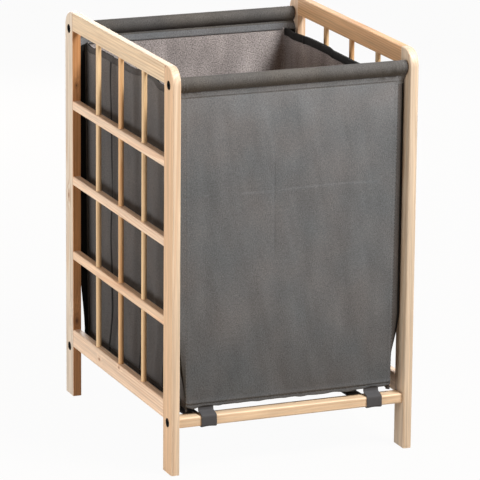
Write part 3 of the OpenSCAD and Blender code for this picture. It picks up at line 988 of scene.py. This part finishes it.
def end_grid():
    """Columns and rows of an end wall: 3 mm apart on the flat, closer at the seams and round the rod."""
    flat = np.unique(np.concatenate([np.arange(-153, 154, 3.0), closer((PRESSED_X, -PRESSED_X), 6)]))
    seam = np.arange(154.2, CUT_X + 0.1, 1.2)
    across = np.concatenate([-seam[::-1], flat, seam])
    crease = along_at(CREASE_Z)
    fold = along_at(PRESSED_Z)
    wall = wall_rows(crease - 14)
    wall = wall[np.abs(wall - fold) > 7.0]
    band = np.arange(crease - 13, crease + 5, 0.8)
    top = np.linspace(crease + 6, END_CUT, 56)
    return across, np.unique(np.concatenate([wall, closer((fold,), 6), band, top]))


END_ACROSS, END_ALONG = end_grid()
print("an end wall's grid has", len(END_ALONG), "rows and", len(END_ACROSS), "columns")

# %% Both end walls
# width of black tape on the edge of each end wall's allowance: partly painted shade beside the posts
TAPED_SHADE_EDGE = 6.0
# how dark the painted shade beside a corner seam is, and how far it reaches
SEAM_SHADE = 0.55
SEAM_WIDE = 2.5
for name, end in (("front", -1), ("rear", 1)):
    down, cross = np.meshgrid(END_ALONG, END_ACROSS * -end, indexing="ij")
    points = end_wall(cross, down, end)
    wall = sheet_mesh(f"bag_{name}_wall", points, (END_ALONG, END_ACROSS), canvas, thick=CANVAS_T)
    # the cloth on the rod, and the allowances except at the lit front left corner, get darker copies of
    # the canvas, which are painted shade
    on_rod = (END_ALONG[1:] > along_at(CREASE_Z)) & (END_ALONG[1:] < END_CUT - 9)
    below_band = (END_ALONG[1:] < along_at(BAND_Z))[:, None]
    inner_edge = np.minimum(np.abs(cross[1:, 1:]), np.abs(cross[1:, :-1]))
    taped_shade = below_band & (inner_edge > CUT_X - TAPED_SHADE_EDGE)
    shaded_allowance = below_band & (inner_edge > SEAM_AT) & (seam_stands(cross[1:, 1:], end) == 1)
    finish = np.select([taped_shade, shaded_allowance], [2, 3], on_rod[:, None] + 0 * inner_edge)
    paint_faces(wall, (shaded_sleeve_canvas, black_tape, shaded_side_canvas), finish)
    # painted shade beside the corner seams, faint at the lit front left one
    crease_shade = SEAM_SHADE * seam_stands(cross, end) * valley(np.abs(cross), SEAM_AT, SEAM_WIDE)
    paint_crease_shade(wall, crease_shade * (down < along_at(BAND_Z)))
    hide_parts(f"bag_{name}_panel", f"{name}_rod_sleeve")
print("an end wall is cut", round(2 * CUT_X), "by", round(END_CUT), "mm")

# %% [markdown]
# ## Side walls
#
# A side wall is one sheet whose two upright edges turn out, behind the end walls' allowances, and
# are sewn to them. Its top edge is turned in to make a hem. It hangs free between the rods, so its
# rim rises and dips. Its cloth is a darker copy of the canvas, which is painted shade. It came
# folded flat, and the folds of the packing still show as upright creases, along which a value stored
# on the mesh tells the canvas where to paint dark shade.

# %% Plan and rim of a side wall
FILLET = 4.0
TURN_IN = 9.0
# how far its allowances lie behind the end walls', and its rim's round has its middle below the top
BEHIND = 1.2
RIM_DOWN = 2.2


def side_plan():
    """Distance out and y along half of a side wall, from its middle: wall, quarter round, allowance."""
    t = np.linspace(0, QUARTER, 12)
    start_y = WALL_Y - BEHIND - FILLET
    bend = np.stack([WALL_X + FILLET * (1 - np.cos(t)), start_y + FILLET * np.sin(t)], 1)
    return np.concatenate([[[WALL_X, 0]], bend, [[CUT_X, WALL_Y - BEHIND]]])


def rim_profile():
    """Distance in and height along a side wall's height: up, over a small round, and down inside."""
    t = np.linspace(0, np.pi, 9)
    over = np.stack([1 - np.cos(t), RIM_Z - RIM_DOWN + np.sin(t)], 1)
    return np.concatenate([[[0, HEM_Z]], over, [[2.0, RIM_Z - RIM_DOWN - TURN_IN]]])


SIDE_PLAN = side_plan()
SIDE_LENGTHS = lengths(SIDE_PLAN)
SIDE_HALF = SIDE_LENGTHS[-1]
RIM_PROFILE = rim_profile()
RIM_LENGTHS = lengths(RIM_PROFILE)
SIDE_CUT = RIM_LENGTHS[-1]
print("a side wall is laid out", round(2 * SIDE_HALF), "mm wide and", round(SIDE_CUT), "mm high")


# %% Shape of a side wall
def side_wall(across, along, side):
    """Point of a side wall: across is the flat distance from its middle, along the one from its hem."""
    far = np.abs(across)
    out = np.interp(far, SIDE_LENGTHS, SIDE_PLAN[:, 0])
    y = np.interp(far, SIDE_LENGTHS, SIDE_PLAN[:, 1]) * np.sign(across)
    step_in = np.interp(along, RIM_LENGTHS, RIM_PROFILE[:, 0])
    z = np.interp(along, RIM_LENGTHS, RIM_PROFILE[:, 1])
    share = np.clip((out - SEAM_AT) / (CUT_X - SEAM_AT), 0, 1)
    edge = np.where(out > SEAM_AT, SEAM_AT + share * (allowance_edge(z, np.sign(y)) - SEAM_AT), out)
    y = y - np.sign(y) * allowance_curl(share, z, y, side)
    rim_seam = 0.5 * hump(z, RIM_Z - TURN_IN, 1.2) * (step_in < 1)
    flat = 1 - smooth_step(WALL_X, WALL_X + 3, out)
    x = edge - step_in + flat * (hem_relief(z, 0.8, 0.6) - rim_seam)
    droop = 1.2 * ripples(across, z, 8, 90, 400) - 1.5 * smooth_step(150, 200, -across)
    z = z + droop * smooth_step(BASE_Z + 2, HEM_Z, z)
    return settle(np.stack([side * x, y, z], -1))


def side_grid():
    """Columns and rows of a side wall: 3 mm apart on the flat, closer at the corners and at the rim."""
    fine = closer(CREASE_Y, 9)
    flat = np.unique(np.concatenate([np.arange(-195, 196, 3.0), fine, -fine]))
    turn_out = np.linspace(196.5, SIDE_HALF, 18)
    across = np.concatenate([-turn_out[::-1], flat, turn_out])
    rim_starts = along_at(RIM_Z) - 16
    return across, np.concatenate([wall_rows(rim_starts), np.linspace(rim_starts, SIDE_CUT, 26)])


SIDE_ACROSS, SIDE_ALONG = side_grid()
print("a side wall's grid has", len(SIDE_ALONG), "rows and", len(SIDE_ACROSS), "columns")

# %% Both side walls
# how far the painted shade along a side wall's creases reaches
CREASE_SHADE_WIDE = 5.0
# width of black tape on the side walls' allowances: at the rear corners it covers the whole allowance, as
# painted shade where the rear posts' shadow falls
REAR_TAPED_SHADE = 15.0
FRONT_TAPED_SHADE = 8.0
for name, side in SIDES:
    down, cross = np.meshgrid(SIDE_ALONG, SIDE_ACROSS * side, indexing="ij")
    points = side_wall(cross, down, side)
    wall = sheet_mesh(f"bag_{name}_wall", points, (SIDE_ALONG, SIDE_ACROSS), shaded_side_canvas, thick=CANVAS_T)
    between = (SIDE_ACROSS[1:] + SIDE_ACROSS[:-1]) / 2
    taped_shade = np.abs(between) > SIDE_HALF - np.where(between * side > 0, REAR_TAPED_SHADE, FRONT_TAPED_SHADE)
    paint_faces(wall, (black_tape,), np.tile(taped_shade, len(SIDE_ALONG) - 1))
    paint_crease_shade(wall, np.maximum.reduce(side_creases(points[..., 1], points[..., 2], CREASE_SHADE_WIDE)))
    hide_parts(f"bag_{name}_panel")

# %% [markdown]
# ## Base and lining
#
# The base is a sheet whose edges turn down and are sewn to the walls' bottom hems. The lining is a
# second, pale bag inside the first: a lofted tub, open at the top, whose upper edge is caught
# under the stitched bands and the side hems.

# %% Base
BASE_EDGE = 4.5
INSIDE_WALL = 1.6


def base_sheet(across, along):
    """Point of the base: flat out to the walls, then turned down by what is left of the sheet."""
    x = np.clip(across, INSIDE_WALL - WALL_X, WALL_X - INSIDE_WALL)
    y = np.clip(along, INSIDE_WALL - WALL_Y, WALL_Y - INSIDE_WALL)
    left_over = np.abs(across - x) + np.abs(along - y)
    return settle(np.stack([x, y, BASE_Z - np.minimum(left_over, BASE_EDGE)], -1))


def base_grid(half):
    """Rows or columns of the base, 6 mm apart on the flat and 1.5 mm apart over its turned edge."""
    flat = np.linspace(-half + 3, half - 3, int(half / 3))
    turned = np.arange(half - INSIDE_WALL, half + BASE_EDGE - 1, 1.5)
    return np.concatenate([-turned[::-1], flat, turned])


BASE_ACROSS, BASE_ALONG = base_grid(WALL_X), base_grid(WALL_Y)
down, cross = np.meshgrid(BASE_ALONG, -BASE_ACROSS, indexing="ij")
points = base_sheet(cross, down)
base = sheet_mesh("bag_bottom", points, (BASE_ALONG, BASE_ACROSS), canvas, thick=CANVAS_T)
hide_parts("bag_base")

# %% Plan of the lining
LINING_T = 0.5
LINING_X = WALL_X - 1.1
LINING_Y = WALL_Y - 1.1
CORNER_R = 6.0
CORNER_POINTS = 7
LINING_STEP = 4.5


def lining_plan(step):
    """Closed outline of the lining seen from above: a rectangle with quarter-round corners."""
    corners = []
    for number, (sx, sy) in enumerate(((1, -1), (1, 1), (-1, 1), (-1, -1))):
        t = np.linspace(0, QUARTER, CORNER_POINTS) + (number - 1) * QUARTER
        centre = np.array([sx * (LINING_X - CORNER_R), sy * (LINING_Y - CORNER_R)])
        corners.append(centre + CORNER_R * np.stack([np.cos(t), np.sin(t)], 1))
    ring = np.concatenate([*corners, corners[0][:1]])
    reach = lengths(ring)
    right_starts, left_starts = reach[CORNER_POINTS - 1], reach[3 * CORNER_POINTS - 1]
    fine = LINING_Y - CORNER_R + closer(CREASE_Y, 8)
    left_fine = 2 * (LINING_Y - CORNER_R) - fine
    even = np.arange(0, reach[-1] - step, step)
    even = np.unique(np.concatenate([even, right_starts + fine, left_starts + left_fine]))
    return np.stack([np.interp(even, reach, ring[:, k]) for k in (0, 1)], 1), even, reach[-1]


LINING_RING, LINING_AROUND, LINING_GIRTH = lining_plan(LINING_STEP)
print("the lining is", round(LINING_GIRTH), "mm round")

# %% Making the lining
# its upper edge is so far below the side rims, and so much higher where it is caught at the end walls
LINING_DOWN = 3
CAUGHT_UP = 7.5
WALL_DOWN = np.linspace(0, 1, 80)
FLOOR_IN = np.linspace(0, 1, 22)[1:]


def lining_points():
    """The tub: the outline carried down the walls, then shrunk to a short line across the floor."""
    ring_x, ring_y = LINING_RING[:, 0], LINING_RING[:, 1]
    top = RIM_Z - LINING_DOWN + CAUGHT_UP * smooth_step(LINING_Y - 3, LINING_Y, np.abs(ring_y))
    floor_z = BASE_Z + 1.0
    z = top + (floor_z + 2 - top) * WALL_DOWN[:, None]
    wall = np.stack([np.broadcast_to(ring_x, z.shape), np.broadcast_to(ring_y, z.shape), z], -1)
    shrink = 1 - FLOOR_IN[:, None]
    keep_y = np.sign(ring_y) * np.clip(np.abs(ring_y) - LINING_X, 0, None)
    floor_x = ring_x * shrink
    floor_y = keep_y + (ring_y - keep_y) * shrink
    floor_height = floor_z + 2 * np.exp(-FLOOR_IN[:, None] * 60) + 0 * floor_x
    return settle(np.concatenate([wall, np.stack([floor_x, floor_y, floor_height], -1)]))


def lay_floor_flat(made, points):
    """Takes the UV map of the lining's floor from above, so its specks don't shrink to the middle."""
    loops = len(made.data.loops)
    corners = np.empty(loops, dtype=np.int32)
    made.data.loops.foreach_get("vertex_index", corners)
    layer = made.data.uv_layers["cloth"].data
    uv = np.empty(2 * loops, dtype=np.float32)
    layer.foreach_get("uv", uv)
    from_above = points.reshape(-1, 3)[corners, :2] * MM
    on_floor = np.arange(loops) >= 4 * (len(WALL_DOWN) - 1) * points.shape[1]
    layer.foreach_set("uv", np.where(on_floor[:, None], from_above, uv.reshape(-1, 2)).ravel())


lining_rows = np.concatenate([WALL_DOWN * (RIM_Z - BASE_Z), RIM_Z - BASE_Z + FLOOR_IN * LINING_X])
lining_cut = (lining_rows, np.append(LINING_AROUND, LINING_GIRTH))
tub = lining_points()
lining = sheet_mesh("bag_inner_lining", tub, lining_cut, lining_cloth, wrap=True, thick=LINING_T)
lay_floor_flat(lining, tub)
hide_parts("bag_lining")

# %% [markdown]
# ## Binding tape
#
# A binding is folded over the rim of each side wall and sewn down. Its inner leg, 10 mm high, is
# black woven tape. Its outer leg is the wall's own darker canvas, which is painted shade, so that
# the rim looks like a plain hem from outside.

# %% Binding tape
TAPE_T = 0.5
# how far below the rim the round's middle lies and the outer and inner legs end, and the legs' places in
TAPE_ROUND = 1.6
OUTER_LEG, INNER_LEG = 9, 10
OUTER_IN, INNER_IN = -1.0, 3.0


def tape_profile():
    """Distance in and height across the tape: outer leg, half round over the rim, inner leg."""
    t = np.linspace(0, np.pi, 9)
    half = (INNER_IN - OUTER_IN) / 2
    over = np.stack([OUTER_IN + half * (1 - np.cos(t)), RIM_Z - TAPE_ROUND + 1.8 * np.sin(t)], 1)
    outer = np.array([[OUTER_IN, RIM_Z - OUTER_LEG], [OUTER_IN, RIM_Z - OUTER_LEG + 4]])
    inner = np.array([[INNER_IN, RIM_Z - INNER_LEG + 4], [INNER_IN, RIM_Z - INNER_LEG]])
    return np.concatenate([outer, over, inner])


TAPE_PROFILE = tape_profile()
for name, side in SIDES:
    run = np.arange(-WALL_Y + 3, WALL_Y - 2.9, 3.0)
    step_in, y = np.meshgrid(TAPE_PROFILE[:, 0], run * side, indexing="ij")
    z = np.broadcast_to(TAPE_PROFILE[:, 1][:, None], y.shape)
    points = settle(np.stack([side * (WALL_X - step_in), y, z], -1))
    tape = sheet_mesh(f"{name}_rim_tape", points, (lengths(TAPE_PROFILE), run), black_tape, thick=TAPE_T)
    outer_leg = TAPE_PROFILE[1:, 0] < 0.5
    paint_faces(tape, (shaded_side_canvas,), np.repeat(outer_leg, len(run) - 1))
    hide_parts(f"{name}_top_hem")

# %% [markdown]
# ## Webbing straps
#
# Each strap is one length of webbing, sewn into the front and rear hems. From the hem it slants out
# to the rail, goes down the rail's face, turns under it and runs back beneath the bag to the other
# rail. Its cross-section, a flat bar with soft edges, is carried along that path.

# %% Path of a strap
STRAP_X = middle("right_strap")[0]
STRAP_W = span("right_strap")[1][0] - span("right_strap")[0][0]
STRAP_T = 1.5
STRAP_GAP = 0.15
STRAP_SAG = 2.5
BEND_R = 3.0
RAIL_LOW, RAIL_HIGH = span("rear_cross_rail")


def strap_path():
    """Distance out and height along half a strap: round corners at a few bends, then a sagging run."""
    gap = STRAP_T / 2 + STRAP_GAP
    face, under = RAIL_HIGH[1] + gap, RAIL_LOW[2] - gap
    sewn_in, leaves_hem = (WALL_Y - 1.3, BASE_Z - 1.5), (WALL_Y - 1.0, HEM_Z - 1.5)
    behind_rail = (RAIL_LOW[1] - 3, under)
    bends = np.array([sewn_in, leaves_hem, (face, RAIL_HIGH[2] + 0.8), (face, under), behind_rail])
    t = np.linspace(0, 1, 8)[:, None]
    path = [bends[:1]]
    for before, here, after in zip(bends, bends[1:], bends[2:]):
        r = min(BEND_R, np.linalg.norm(after - here) * 0.45)
        enter = here + unit(before - here) * r
        leave = here + unit(after - here) * r
        path.append((1 - t) ** 2 * enter + 2 * t * (1 - t) * here + t ** 2 * leave)
    run = np.linspace(behind_rail[0], 0, 30)[:, None]
    sag = under - STRAP_SAG * (1 - (run / run[0]) ** 2)
    return np.concatenate([*path, np.concatenate([run, sag], 1)])


STRAP_HALF = strap_path()
STRAP_LINE = np.concatenate([STRAP_HALF * (-1, 1), STRAP_HALF[-2::-1]])
print("each strap is", round(lengths(STRAP_LINE)[-1]), "mm long")


# %% Making the straps

def strap_section():
    """Width and thickness round a strap's closed outline: a flat bar whose two edges are half round."""
    t = np.linspace(-QUARTER, QUARTER, 5)
    half, r = STRAP_W / 2, STRAP_T / 2
    one_edge = np.stack([half - r + r * np.cos(t), r * np.sin(t)], 1)
    top = np.stack([np.linspace(half - r, r - half, 7)[1:-1], np.full(5, r)], 1)
    return np.concatenate([one_edge, top, -one_edge, -top])


def strap_points(middle_x):
    """The section carried along the strap's line and cupped a little. Its two end rings close up flat."""
    section = strap_section()
    ahead = unit(np.gradient(STRAP_LINE, axis=0))
    normal = np.stack([-ahead[:, 1], ahead[:, 0]], 1)
    size = np.ones(len(STRAP_LINE))
    size[[0, -1]] = 0.02
    wide = section[None, :, 0] * np.ones_like(size)[:, None]
    thick = section[None, :, 1] * size[:, None]
    cup = 0.35 * np.cos(2 * np.pi * wide / STRAP_W)
    shift = 0.9 * np.sin(lengths(STRAP_LINE) / 37)[:, None]
    y, z = (STRAP_LINE[:, k, None] + normal[:, k, None] * (thick + cup) for k in (0, 1))
    return np.stack([middle_x + wide + shift, y, z], -1)


for name, side in SIDES:
    ring = lengths(np.concatenate([strap_section(), strap_section()[:1]]))
    cut = (lengths(STRAP_LINE), ring)
    strap = sheet_mesh(f"{name}_webbing_strap", strap_points(side * STRAP_X), cut, webbing, wrap=True)
    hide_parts(f"{name}_strap")

# %% [markdown]
# ## Stitching
#
# The bag is sewn with a thick grey thread. Each stitch is the same small spindle-shaped mesh of 24
# faces, laid on the cloth wherever the wall functions say the seam runs. Because the walls are
# functions of flat lengths, a row of stitches is only a line drawn on the flat cut.

# %% One stitch
STITCH_LONG = 3.4
STITCH_R = 0.42


def stitch_shape():
    """Points and faces of one stitch: two poles and three rings of six, r = sqrt(1 - t^2). The poles
    are points 0 and 19, and the rings start at 1, 7 and 13."""
    t = np.repeat([-0.75, 0, 0.75], 6)
    turn = np.tile(np.arange(6) * np.pi / 3, 3)
    r = np.sqrt(1 - t ** 2)
    rings = np.stack([t, r * np.cos(turn), r * np.sin(turn)], 1)
    points = np.concatenate([[[-1, 0, 0]], rings, [[1, 0, 0]]])
    faces = []
    for k in range(6):
        n = (k + 1) % 6
        faces.append((0, 1 + n, 1 + k))
        faces.append((1 + k, 1 + n, 7 + n, 7 + k))
        faces.append((7 + k, 7 + n, 13 + n, 13 + k))
        faces.append((13 + k, 13 + n, 19))
    return points, faces


print("a stitch has", len(stitch_shape()[1]), "faces")

# %% Rows of stitches
STITCH_PITCH = 5.0
SURFACE = CANVAS_T / 2 + 0.05
# the two rows of the stitched band: how far under the sleeve's crease, and half the row's length
BAND_ROWS = ((3.4, 172), (9.4, 171))


def row_frames(wall, side, across, along, lift=SURFACE):
    """Centre, direction and outward normal of each stitch of a row. Its flat lengths across and along
    are a list of places or one place for the whole row."""
    ahead = 0.5
    across, along = np.broadcast_arrays(across, along)
    step_a, step_b = ahead * unit(np.stack([np.gradient(across), np.gradient(along)], 1)).T
    centre = wall(across, along, side)
    forward, backward = (wall(across + k * step_a, along + k * step_b, side) for k in (1, -1))
    left, right = (wall(across - k * step_b, along + k * step_a, side) for k in (1, -1))
    tangent = unit(forward - backward)
    normal = unit(np.cross(tangent, left - right))
    outward = np.sign(np.sum(normal * centre * (1, 1, 0), axis=1, keepdims=True))
    normal = normal * outward * np.sign(lift)
    return centre + normal * abs(lift), tangent, normal


def seam_line(low, high):
    """Places of the stitches between two flat lengths, one pitch apart."""
    return np.arange(low, high, STITCH_PITCH)


def stitch_rows():
    """Every row of stitches on the bag: sleeve bands, corner seams, bottom hems and side rims."""
    base_seam = along_at(BASE_Z - 1)
    upright = seam_line(4, along_at(BAND_Z - 2))
    over_rod = seam_line(along_at(CREASE_Z) + 3, SLEEVE_TOP)
    rows = []
    for end in (-1, 1):
        for under, half in BAND_ROWS:
            rows.append(row_frames(end_wall, end, seam_line(-half, half), along_at(CREASE_Z - under)))
        rows.append(row_frames(end_wall, end, seam_line(-154, 154), END_CUT - 2.2, lift=-SURFACE))
        for side in (-1, 1):
            rows.append(row_frames(end_wall, end, side * SEAM_AT, upright))
            rows.append(row_frames(end_wall, end, side * (SEAM_AT + 5), over_rod))
        rows.append(row_frames(end_wall, end, seam_line(-WALL_X + 2, WALL_X - 2), base_seam))
    for side in (-1, 1):
        for place in (along_at(RIM_Z - TURN_IN), base_seam):
            rows.append(row_frames(side_wall, side, seam_line(-WALL_Y + 12, WALL_Y - 12), place))
    return [np.concatenate(part) for part in zip(*rows)]


STITCH_ROWS = stitch_rows()
print("stitches to make:", len(STITCH_ROWS[0]))


# %% Stitching
def stitches(name, rows):
    """One mesh with a stitch at every centre, long side along the seam, sunk a little into the cloth."""
    centre, tangent, normal = (part[:, None] for part in rows)
    beside = np.cross(normal, tangent)
    shape, faces = stitch_shape()
    long, wide, high = shape.T[:, :, None]
    points = centre + long * tangent * STITCH_LONG / 2 + (wide * beside + high * normal) * STITCH_R
    starts = range(0, len(centre) * len(shape), len(shape))
    every = [[start + corner for corner in face] for start in starts for face in faces]
    print(name, "has", len(centre), "stitches")
    return new_piece(name, points, every, thread)


stitching = stitches("bag_stitching", STITCH_ROWS)
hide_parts("bag_corner_seams")
